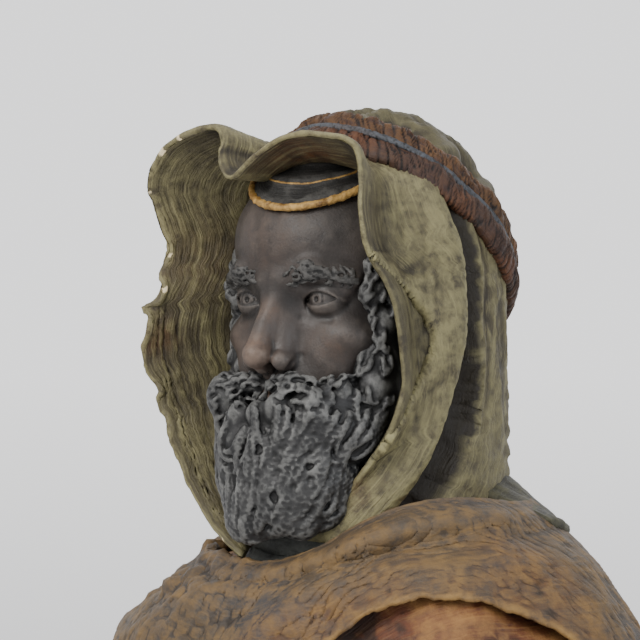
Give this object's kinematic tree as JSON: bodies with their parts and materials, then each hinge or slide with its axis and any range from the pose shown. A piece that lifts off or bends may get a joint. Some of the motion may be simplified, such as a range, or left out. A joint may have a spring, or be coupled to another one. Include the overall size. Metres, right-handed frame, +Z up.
{
  "type": "terracotta portrait bust",
  "caption": "Painted terracotta bust of a bearded man in a flared hood with a two-cord head band, close cap and draped mantle, cut flat below to stand by itself",
  "frame": {"origin": "middle of the outline's box, on the flat underside", "axes": "+Z up, -Y the way the bust faces, +X the side of its left shoulder"},
  "size_m": [0.438, 0.3276, 0.4983],
  "materials": {
    "painted_terracotta": "painted, worn and waxed"
  },
  "bodies": {
    "root": {"bust": "painted_terracotta"}
  },
  "joints": []
}
